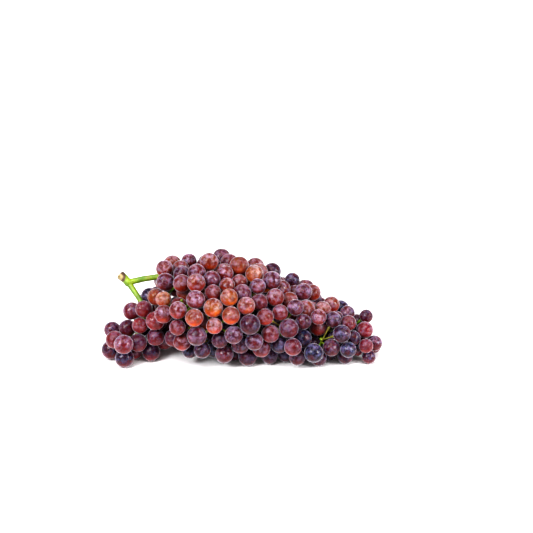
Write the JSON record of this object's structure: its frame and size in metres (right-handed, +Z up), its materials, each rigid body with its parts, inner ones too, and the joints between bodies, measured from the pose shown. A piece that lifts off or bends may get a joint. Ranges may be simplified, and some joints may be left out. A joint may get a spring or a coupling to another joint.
{
  "type": "bunch of grapes",
  "caption": "Winged bunch of small red table grapes lying on its side: round berries packed round a bare, forked green stem with a cut end.",
  "frame": {"origin": "on the surface that the bunch lies on, under the middle of its box", "axes": "+X along the bunch from the cut stalk to the tip, +Y to the back, +Z up"},
  "size_m": [0.2054, 0.1046, 0.0722],
  "materials": {
    "stem_green": "matte",
    "berries_wing": "satin with a waxy bloom",
    "berries_shoulder": "satin with a waxy bloom",
    "berries_middle": "satin with a waxy bloom",
    "berries_tip": "satin with a waxy bloom"
  },
  "bodies": {
    "root": {"stem": "stem_green", "berries_wing_01": "berries_wing", "berries_wing_02": "berries_wing", "berries_wing_03": "berries_wing", "berries_wing_04": "berries_wing", "berries_shoulder_01": "berries_shoulder", "berries_shoulder_02": "berries_shoulder", "berries_wing_05": "berries_wing", "berries_shoulder_03": "berries_shoulder", "berries_wing_06": "berries_wing", "berries_shoulder_04": "berries_shoulder", "berries_shoulder_05": "berries_shoulder", "berries_shoulder_06": "berries_shoulder", "berries_shoulder_07": "berries_shoulder", "berries_shoulder_08": "berries_shoulder", "berries_shoulder_09": "berries_shoulder", "berries_shoulder_10": "berries_shoulder", "berries_shoulder_11": "berries_shoulder", "berries_shoulder_12": "berries_shoulder", "berries_shoulder_13": "berries_shoulder", "berries_shoulder_14": "berries_shoulder", "berries_shoulder_15": "berries_shoulder", "berries_shoulder_16": "berries_shoulder", "berries_shoulder_17": "berries_shoulder", "berries_shoulder_18": "berries_shoulder", "berries_shoulder_19": "berries_shoulder", "berries_shoulder_20": "berries_shoulder", "berries_middle_01": "berries_middle", "berries_middle_02": "berries_middle", "berries_middle_03": "berries_middle", "berries_middle_04": "berries_middle", "berries_middle_05": "berries_middle", "berries_middle_06": "berries_middle", "berries_middle_07": "berries_middle", "berries_middle_08": "berries_middle", "berries_middle_09": "berries_middle", "berries_middle_10": "berries_middle", "berries_middle_11": "berries_middle", "berries_middle_12": "berries_middle", "berries_middle_13": "berries_middle", "berries_middle_14": "berries_middle", "berries_middle_15": "berries_middle", "berries_middle_16": "berries_middle", "berries_middle_17": "berries_middle", "berries_middle_18": "berries_middle", "berries_middle_19": "berries_middle", "berries_middle_20": "berries_middle", "berries_middle_21": "berries_middle", "berries_middle_22": "berries_middle", "berries_middle_23": "berries_middle", "berries_tip_01": "berries_tip", "berries_tip_02": "berries_tip", "berries_tip_03": "berries_tip", "berries_tip_04": "berries_tip", "berries_tip_05": "berries_tip", "berries_tip_06": "berries_tip", "berries_tip_07": "berries_tip", "berries_tip_08": "berries_tip", "berries_tip_09": "berries_tip", "berries_tip_10": "berries_tip"}
  },
  "joints": []
}
